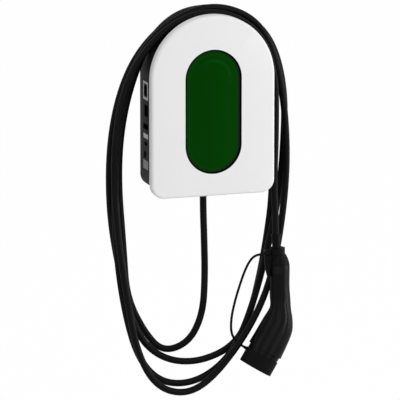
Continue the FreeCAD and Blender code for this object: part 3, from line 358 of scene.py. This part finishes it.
def connector_finish():
    """Black moulded grip: a duller boot above its seam, a ribbed panel below it, painted highlights and
    shade that stand for flutes further down, and painted shade on its left flank.
    """
    f = Finish("connector_black")
    place = f.place()
    fine = f.noise(place, 900.0)
    broad = f.noise(place, 14.0, 3.0)
    x, y, z = f.parts_of(place)
    shell = f.blend(*GRIP_BLACKS, broad)

    axis_x = f.math("MINIMUM", z - FLUTE_AXIS_LEANS_Z * MM, 0.0) * FLUTE_AXIS_LEAN + FLUTE_AXIS_X * MM
    around = f.math("ARCTAN2", abs(y - CONNECTOR_Y * MM), (x - axis_x) * GRIP_FLATNESS)
    # Painted highlight on the flutes' ridges and painted shade between them
    flute_highlight = f.math("COSINE", (around - FLUTE_PHASE) * FLUTE_RATE) * 0.5 + 0.5
    fluted = f.between(z, *scaled(FLUTE_TOP_Z)) * f.within(around, *FLUTED_TURN)
    shell = f.blend(shell, f.blend(*FLUTE_PAINTED_LIGHT_AND_SHADE, flute_highlight), fluted)
    # Painted shade on the grip's left flank, which faces away from the lights
    shell = f.blend(FLANK_PAINTED_SHADE, shell, f.between(around, *SHADED_FLANK_TURN))

    boot = f.between(z, *scaled((-BOOT_FADE, BOOT_FADE), GRIP_SEAM_Z))
    panel = f.within(x, *scaled(PANEL_X)) * f.between(z, *scaled(PANEL_FOOT_Z)) * (1 - boot)
    ribs = f.math("SINE", x * PANEL_RIB_RATE) * 0.5 + 0.5
    raised = f.blend(shell, PANEL_BLACK, panel * (ribs * 0.5 + 0.5))
    upper = f.blend(raised, BOOT_BLACK, boot)
    seam = f.between(abs(z - GRIP_SEAM_Z * MM), *scaled(SEAM_BAND))
    return f.surface({
        "Base Color": f.blend(upper, SEAM_BLACK, seam),
        "Roughness": f.uneven(boot * 0.22 + 0.36, (fine, 0.10), (broad, 0.08)),
        "Specular IOR Level": 0.07,
        "Normal": f.bump(fine * 0.3 + ribs * panel * 0.7, 0.00006),
    })


def oval_distance(f, place):
    """Distance from the window's centre line, in metres."""
    x, _, z = f.parts_of(place)
    beyond = f.math("MAXIMUM", abs(z - WINDOW_CENTRE_Z * MM) - WINDOW_HALF_STRAIGHT * MM, 0.0)
    return (x * x + beyond * beyond) ** 0.5


def cover_finish():
    """Satin white cover: a very fine grain, and a dark line of shadow round the window's bezel."""
    f = Finish("cover_white")
    place = f.place()
    fine = f.noise(place, 1400.0)
    broad = f.noise(place, 9.0)
    line = f.between(oval_distance(f, place), *scaled(SHADOW_BAND, COVER_OPENING_RADIUS))
    return f.surface({
        "Base Color": f.blend(f.blend(*COVER_WHITES, broad), BEZEL_SHADOW, line),
        "Roughness": f.uneven(0.42, (fine, 0.10), (broad, 0.06)),
        "Specular IOR Level": 0.35,
        "Normal": f.bump(fine, 0.00001),
    })


def window_finish():
    """Dark green glossy window: a greyer border along its edge, a ring inside it, painted light on its right
    part, and a faint arc at its upper right.
    """
    f = Finish("window_green")
    place = f.place()
    distance = oval_distance(f, place)
    x, _, z = f.parts_of(place)
    cloud = f.noise(place, 16.0, 3.0)
    fine = f.noise(place, 900.0, 1.0)
    border = f.between(distance, *scaled((-inset for inset in BORDER_INSET), LENS_RADIUS))
    ring = f.between(distance, *scaled((-inset for inset in RING_INSET), LENS_RADIUS)) * (1 - border)
    upper_right = f.between(x + z, *scaled(ARC_CORNER)) * f.between(z, *scaled(ARC_FROM_Z))
    arc = f.within(distance, *scaled(ARC_BAND)) * upper_right
    shade = f.blend(*WINDOW_GREENS, cloud)
    # Painted light: the window's right part is paler
    shade = f.blend(shade, WINDOW_PAINTED_LIGHT, f.between(x, *scaled(PAINTED_LIGHT_FROM_X)))
    shade = f.blend(shade, WINDOW_RING, ring)
    shade = f.blend(shade, WINDOW_ARC, arc)
    return f.surface({
        "Base Color": f.blend(shade, WINDOW_BORDER, border),
        "Roughness": f.uneven(0.12, (fine, 0.02), (cloud, 0.04)),
        "Specular IOR Level": 0.02,
        "Normal": f.bump(cloud, 0.00004, 0.2),
    })


def cable_finish():
    """Smooth black sheath: faint marks drawn out upwards, dust in patches and a soft sheen."""
    f = Finish("cable_black")
    place = f.place()
    fine = f.noise(place, 650.0)
    drawn = f.noise(f.place(scale=(1.0, 1.0, 9.0)), 420.0)
    dust = f.noise(place, 22.0, 4.0, 0.6)
    return f.surface({
        "Base Color": f.blend(*CABLE_BLACKS, dust),
        "Roughness": f.uneven(0.52, (drawn, 0.16), (dust, 0.14)),
        "Specular IOR Level": 0.07,
        "Normal": f.bump(fine * 0.5 + drawn * 0.5, 0.00005),
    })


def metal(name, colour, roughness, brush=(1.0, 1.0, 14.0)):
    """Plated metal with fine turning marks."""
    f = Finish(name)
    marks = f.noise(f.place(scale=brush), 500.0, 3.0)
    broad = f.noise(f.place(), 40.0)
    return f.surface({
        "Base Color": f.blend(tint(colour, 0.88), tint(colour, 1.08), marks * 0.7 + broad * 0.3),
        "Metallic": 1.0,
        "Roughness": f.uneven(roughness, (marks, 0.2)),
        "Normal": f.bump(marks, 0.00002),
    })


def board_finish():
    """Green circuit board: darker laminate and paler tracks."""
    f = Finish("circuit_board")
    spot = f.place()
    tracks = f.node("ShaderNodeTexBrick", {"offset": 0.37, "squash": 0.6}, {
        "Vector": f.node("ShaderNodeMapping", None, {"Vector": spot, "Rotation": (math.pi / 2, 0, 0)}),
        "Scale": 90.0,
        "Mortar Size": 0.012,
        "Brick Width": 0.9,
        "Row Height": 0.22,
    }, output="Fac")
    weave = f.noise(spot, 900.0, 1.0)
    return f.surface({
        "Base Color": f.blend(f.blend(*LAMINATE_GREENS, weave), TRACK_GREEN, tracks),
        "Roughness": f.uneven(0.38, (weave, 0.15)),
        "Specular IOR Level": 0.45,
        "Normal": f.bump(tracks, 0.00004),
    })


def paper_label(name, colour, gloss=0.12):
    """Plain foil with fine fibres and faint rub marks."""
    f = Finish(name)
    place = f.place()
    fibre = f.noise(place, 800.0, 3.0)
    rub = f.noise(place, 60.0, 3.0)
    return f.surface({
        "Base Color": f.blend(tint(colour, 0.90), tint(colour, 1.05), fibre * 0.4 + rub * 0.6),
        "Roughness": f.uneven(0.5, (rub, 0.2)),
        "Specular IOR Level": gloss,
        "Normal": f.bump(fibre, 0.00002),
    })


def frosted_white(name):
    """Frosted guide and light bodies, unlit."""
    f = Finish(name)
    frost = f.noise(f.place(), 500.0, 3.0)
    return f.surface({
        "Base Color": f.blend(*FROSTED_WHITES, frost),
        "Roughness": frost * 0.2 + 0.4,
        "Normal": f.bump(frost, 0.00003),
    })


# Pieces

def add_object(name, data):
    """A new object in the scene."""
    thing = bpy.data.objects.new(name, data)
    bpy.context.scene.collection.objects.link(thing)
    return thing


def smooth(mesh):
    for polygon in mesh.polygons:
        polygon.use_smooth = True


def finish_node(name, material):
    """Gives a CAD node its finish, and shades its curved faces smoothly between its hard edges."""
    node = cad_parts[name]
    smooth(node.data)
    normals = node.data.attributes.get("custom_normal")
    if normals is not None:
        node.data.attributes.remove(normals)
    weld = node.modifiers.new("weld", "WELD")
    weld.merge_threshold = WELD_REACH
    split = node.modifiers.new("edges", "EDGE_SPLIT")
    split.split_angle = math.radians(HARD_EDGE_DEGREES)
    node.data.materials.clear()
    node.data.materials.append(material)


def route_curve(name, points, diameter):
    """A smooth curve with the route's points as control points."""
    data = bpy.data.curves.new(name, "CURVE")
    data.dimensions = "3D"
    data.resolution_u = 10
    data.use_fill_caps = True
    data.bevel_depth = diameter / 2 * MM
    data.bevel_resolution = 6
    spline = data.splines.new("NURBS")
    spline.points.add(len(points) - 1)
    for point, (x, y, z) in zip(spline.points, points):
        point.co = (x * MM, y * MM, z * MM, 1.0)
    spline.order_u = 3
    spline.use_endpoint_u = True
    return add_object(name, data)


def as_mesh(piece, name):
    """The evaluated piece as a plain mesh object; the first one is removed."""
    graph = bpy.context.evaluated_depsgraph_get()
    mesh = bpy.data.meshes.new_from_object(piece.evaluated_get(graph))
    bpy.data.objects.remove(piece)
    return add_object(name, mesh)


def centre_line(points):
    """Points along the smooth line of a route, in metres."""
    line = as_mesh(route_curve("line", points, 0.0), "line")
    found = [tuple(vertex.co) for vertex in line.data.vertices]
    bpy.data.objects.remove(line)
    return found


def mesh_piece(name, build, material):
    """Makes a mesh piece from a bmesh builder and puts it on the station."""
    mesh = bpy.data.meshes.new(name)
    work = bmesh.new()
    build(work)
    bmesh.ops.remove_doubles(work, verts=work.verts, dist=0.000001)
    bmesh.ops.recalc_face_normals(work, faces=work.faces)
    work.to_mesh(mesh)
    work.free()
    piece = add_object(name, mesh)
    piece.data.materials.append(material)
    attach(piece, "station")
    return piece


def plate_on_side(work, y0, y1, z0, z1, thickness):
    """Thin plate with round corners on the housing's left side."""
    front_y = y0 + LABEL_CORNER
    rear_y = y1 - LABEL_CORNER
    low_z = z0 + LABEL_CORNER
    high_z = z1 - LABEL_CORNER
    corners = [(rear_y, high_z, 0), (front_y, high_z, 90), (front_y, low_z, 180), (rear_y, low_z, 270)]
    outline = []
    for y, z, start in corners:
        for step in range(LABEL_CORNER_STEPS + 1):
            turn = math.radians(start + 90 * step / LABEL_CORNER_STEPS)
            outline.append((y + LABEL_CORNER * math.cos(turn), z + LABEL_CORNER * math.sin(turn)))
    inner, outer = [
        [work.verts.new(((BASE_SIDE_X - proud) * MM, y * MM, z * MM)) for y, z in outline]
        for proud in (LABEL_GAP, thickness)
    ]
    work.faces.new(inner)
    work.faces.new(outer)
    for index in range(len(outline)):
        after = (index + 1) % len(outline)
        work.faces.new((inner[index], inner[after], outer[after], outer[index]))


def hanging_tab(work):
    """Soft tab with round edges, drawn as an outline of x and z."""
    corners = [(x * MM, COLLAR_TAB_FRONT_Y * MM, z * MM) for x, z in COLLAR_TAB_OUTLINE]
    front = work.faces.new([work.verts.new(corner) for corner in corners])
    pulled = bmesh.ops.extrude_face_region(work, geom=[front])
    moved = [part for part in pulled["geom"] if isinstance(part, bmesh.types.BMVert)]
    depth = (COLLAR_TAB_REAR_Y - COLLAR_TAB_FRONT_Y) * MM
    bmesh.ops.translate(work, verts=moved, vec=(0, depth, 0))
    bmesh.ops.bevel(
        work,
        geom=work.edges[:],
        offset=COLLAR_TAB_ROUNDING * MM,
        segments=3,
        profile=0.5,
        affect="EDGES",
    )


def swelling(work):
    """Half an oval in each cross-section, sunk into the grip at both ends."""
    rings = []
    for z, proud in GRIP_SWELL:
        ring = []
        for step in range(SWELL_STEPS + 1):
            turn = math.radians(-90 + 180 * step / SWELL_STEPS)
            x = SWELL_CENTRE_X - (SWELL_SUNK_REACH + proud * SWELL_GAIN) * math.cos(turn)
            y = CONNECTOR_Y + SWELL_HALF_DEPTH * math.sin(turn)
            ring.append(work.verts.new((x * MM, y * MM, z * MM)))
        rings.append(ring)
    for upper, lower in zip(rings[:-1], rings[1:]):
        for index in range(SWELL_STEPS):
            work.faces.new((upper[index], upper[index + 1], lower[index + 1], lower[index]))
        work.faces.new((upper[0], lower[0], lower[-1], upper[-1]))
    work.faces.new(rings[0])
    work.faces.new(rings[-1])


# Camera, lights, world and floor

def stand(thing, place, target):
    """Puts a camera or a light in its place and turns it to its target."""
    thing.location = place
    thing.rotation_mode = "QUATERNION"
    thing.rotation_quaternion = (Vector(target) - Vector(place)).to_track_quat("-Z", "Y")


def make_camera():
    data = bpy.data.cameras.new("camera")
    data.lens = CAMERA_LENS
    data.sensor_width = CAMERA_SENSOR
    data.clip_start = 0.5
    data.clip_end = 60.0
    camera = add_object("camera", data)
    stand(camera, CAMERA_PLACE, CAMERA_TARGET)
    bpy.context.scene.camera = camera


def area_light(name, place, target, size, power):
    data = bpy.data.lights.new(name, "AREA")
    data.shape = "DISK"
    data.size = size
    data.energy = power
    stand(add_object(name, data), place, target)


def seen_directly(tree, strength_seen, strength_else):
    """Strength as the camera, a reflection or clear glass sees it, and as it lights the object."""
    path = tree.nodes.new("ShaderNodeLightPath")
    seen = path.outputs["Is Camera Ray"]
    for ray in ("Is Transmission Ray", "Is Glossy Ray"):
        either = tree.nodes.new("ShaderNodeMath")
        either.operation = "MAXIMUM"
        tree.links.new(seen, either.inputs[0])
        tree.links.new(path.outputs[ray], either.inputs[1])
        seen = either.outputs[0]
    mix = tree.nodes.new("ShaderNodeMix")
    mix.data_type = "FLOAT"
    tree.links.new(seen, mix.inputs[0])
    mix.inputs[2].default_value = strength_else
    mix.inputs[3].default_value = strength_seen
    return mix.outputs[0]


def make_world():
    world = bpy.data.worlds.new("studio")
    bpy.context.scene.world = world
    world.use_nodes = True
    tree = world.node_tree
    background = tree.nodes["Background"]
    background.inputs["Color"].default_value = PLAIN_WHITE
    tree.links.new(seen_directly(tree, 1.0, WORLD_LIGHT), background.inputs["Strength"])


def make_floor():
    """Pale floor that keeps the object's shadow and looks white elsewhere."""
    work = bmesh.new()
    bmesh.ops.create_circle(work, cap_ends=True, segments=96, radius=FLOOR_RADIUS)
    mesh = bpy.data.meshes.new("floor")
    work.to_mesh(mesh)
    work.free()
    floor = add_object("floor", mesh)
    floor.location = (0, 0, FLOOR_Z)
    f = Finish("floor_pale")
    shade = f.blend(*FLOOR_WHITES, f.noise(f.place(), 3.0))
    plain = f.node("ShaderNodeBsdfDiffuse", None, {"Color": shade, "Roughness": 0.5})
    white = f.node("ShaderNodeEmission", None, {"Color": PLAIN_WHITE, "Strength": 1.0})
    share = f.node("ShaderNodeLightPath", output="Is Camera Ray") * FLOOR_WHITENESS
    f.output(f.node("ShaderNodeMixShader", None, {0: share, 1: plain, 2: white}))
    floor.data.materials.append(f.material)


make_camera()
make_world()
for light in LIGHTS:
    area_light(*light)
make_floor()
bpy.context.scene.view_settings.view_transform = "Standard"

# Finishes of the CAD nodes
COVER = cover_finish()
WINDOW = window_finish()
CABLE = cable_finish()
HOUSING = moulded(
    "housing_grey",
    (0.028, 0.028, 0.030),
    0.55,
    grain=480.0,
    depth=0.00006,
    mottle=0.06,
    gloss=0.05,
    # Painted shade of the cable's laps on the housing's upper part
    painted_shade_from=0.052,
)
CONNECTOR = connector_finish()
SOFT_BLACK = moulded("soft_black", (0.0034, 0.0034, 0.0036), 0.5, grain=600.0, depth=0.00004, gloss=0.06)
BEZEL = moulded("bezel_black", (0.0002, 0.0016, 0.0002), 0.3, grain=900.0, depth=0.00001, gloss=0.0)
GLAND = moulded("gland_black", (0.012, 0.012, 0.012), 0.45, gloss=0.3)
SEAL = moulded("seal_black", (0.012, 0.012, 0.012), 0.62, gloss=0.2)
RELAY = moulded("relay_black", (0.014, 0.014, 0.015), 0.42)
CHIP = moulded("chip_black", (0.010, 0.010, 0.010), 0.5)
TERMINAL = moulded("terminal_green", (0.030, 0.150, 0.060), 0.42, grain=500.0)
CORE = moulded("core_brown", (0.115, 0.045, 0.020), 0.35)
BOARD = board_finish()
GUIDE = frosted_white("guide_frosted")
EMITTER = frosted_white("light_bodies")
STEEL = metal("screw_steel", (0.56, 0.56, 0.57), 0.32)
SHIELD = metal("shield_tin", (0.62, 0.62, 0.60), 0.36, (1.0, 1.0, 1.0))
CAN = metal("capacitor_can", (0.42, 0.42, 0.44), 0.34)
CONTACT = metal("contact_silver", (0.66, 0.63, 0.56), 0.24)

NODE_FINISHES = {
    "rear_housing": HOUSING,
    "front_cover": COVER,
    "cover_gasket": SEAL,
    "window_bezel": BEZEL,
    "window_lens": WINDOW,
    "light_guide": GUIDE,
    "light_board": BOARD,
    "status_lights": EMITTER,
    "card_reader": BOARD,
    "cover_screws": STEEL,
    "board_screws": STEEL,
    "power_board": BOARD,
    "control_board": BOARD,
    "supply_terminals": TERMINAL,
    "cable_terminals": TERMINAL,
    "charging_relays": RELAY,
    "leakage_sensor": RELAY,
    "supply_module": RELAY,
    "capacitors": CAN,
    "radio_module": SHIELD,
    "board_chips": CHIP,
    "gland_body": GLAND,
    "gland_nut": GLAND,
    "gland_locknut": GLAND,
    "supply_grommet": SEAL,
    "cable_cores": CORE,
    "cable_sleeve": SOFT_BLACK,
    "strap_collar": SOFT_BLACK,
    "handle_front_shell": CONNECTOR,
    "handle_rear_shell": CONNECTOR,
    "handle_screws": STEEL,
    "nose_body": CONNECTOR,
    "contact_sleeves": CONTACT,
    "protective_cap": SOFT_BLACK,
}
for node_name, node_finish in NODE_FINISHES.items():
    finish_node(node_name, node_finish)

# Pieces that ride on the cable's far end
tab = mesh_piece("collar_tab", hanging_tab, SOFT_BLACK)
flank = mesh_piece("grip_flank", swelling, CONNECTOR)
smooth(tab.data)
smooth(flank.data)

# Cable and strap
cable = route_curve("cable", CABLE_ROUTE, CABLE_DIAMETER)
cable.data.materials.append(CABLE)
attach(cable, "station")
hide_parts("charging_cable")

strap_line = centre_line(STRAP_ROUTE)
strap = as_mesh(route_curve("strap_line", STRAP_ROUTE, STRAP_DIAMETER), "strap")
smooth(strap.data)
strap.data.materials.clear()
strap.data.materials.append(SOFT_BLACK)
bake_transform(strap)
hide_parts("cap_strap")

# Plain label plates on the housing's left side: y and z ranges, thickness and finish of each
WHITE_FOIL = paper_label("label_white", (0.62, 0.62, 0.62))
PALE_FOIL = paper_label("label_pale", (0.30, 0.30, 0.30))
BLACK_FOIL = paper_label("label_black", (0.0015, 0.0015, 0.0015), 0.0)
DARK_FOIL = paper_label("label_dark", (0.0105, 0.0105, 0.0105), 0.02)
GREY_FOIL = paper_label("label_grey", (0.0250, 0.0250, 0.0260), 0.03)
LABELS = [
    ("label_panel", -54.0, -19.0, -131.0, 45.0, 0.12, GREY_FOIL),
    ("label_edge", -50.5, -38.0, -58.0, 2.0, 0.18, DARK_FOIL),
    ("label_upper", -52.0, -21.0, 7.0, 42.5, 0.25, WHITE_FOIL),
    ("label_upper_field", -47.0, -25.5, 12.0, 37.5, 0.35, GREY_FOIL),
    ("label_upper_mark", -44.0, -29.0, 15.5, 34.0, 0.45, BLACK_FOIL),
    ("label_second", -50.5, -29.0, -25.0, -3.0, 0.25, BLACK_FOIL),
    ("label_third", -52.0, -21.0, -50.5, -40.0, 0.25, BLACK_FOIL),
    ("label_middle", -51.5, -22.0, -68.0, -59.0, 0.25, WHITE_FOIL),
    ("label_fifth", -46.0, -29.0, -82.0, -75.0, 0.25, BLACK_FOIL),
    ("label_sixth", -38.0, -27.0, -106.0, -94.0, 0.25, BLACK_FOIL),
    ("label_lower", -51.5, -20.5, -128.0, -111.0, 0.25, PALE_FOIL),
]
for label_name, *extent, foil in LABELS:
    mesh_piece(label_name, lambda work: plate_on_side(work, *extent), foil)
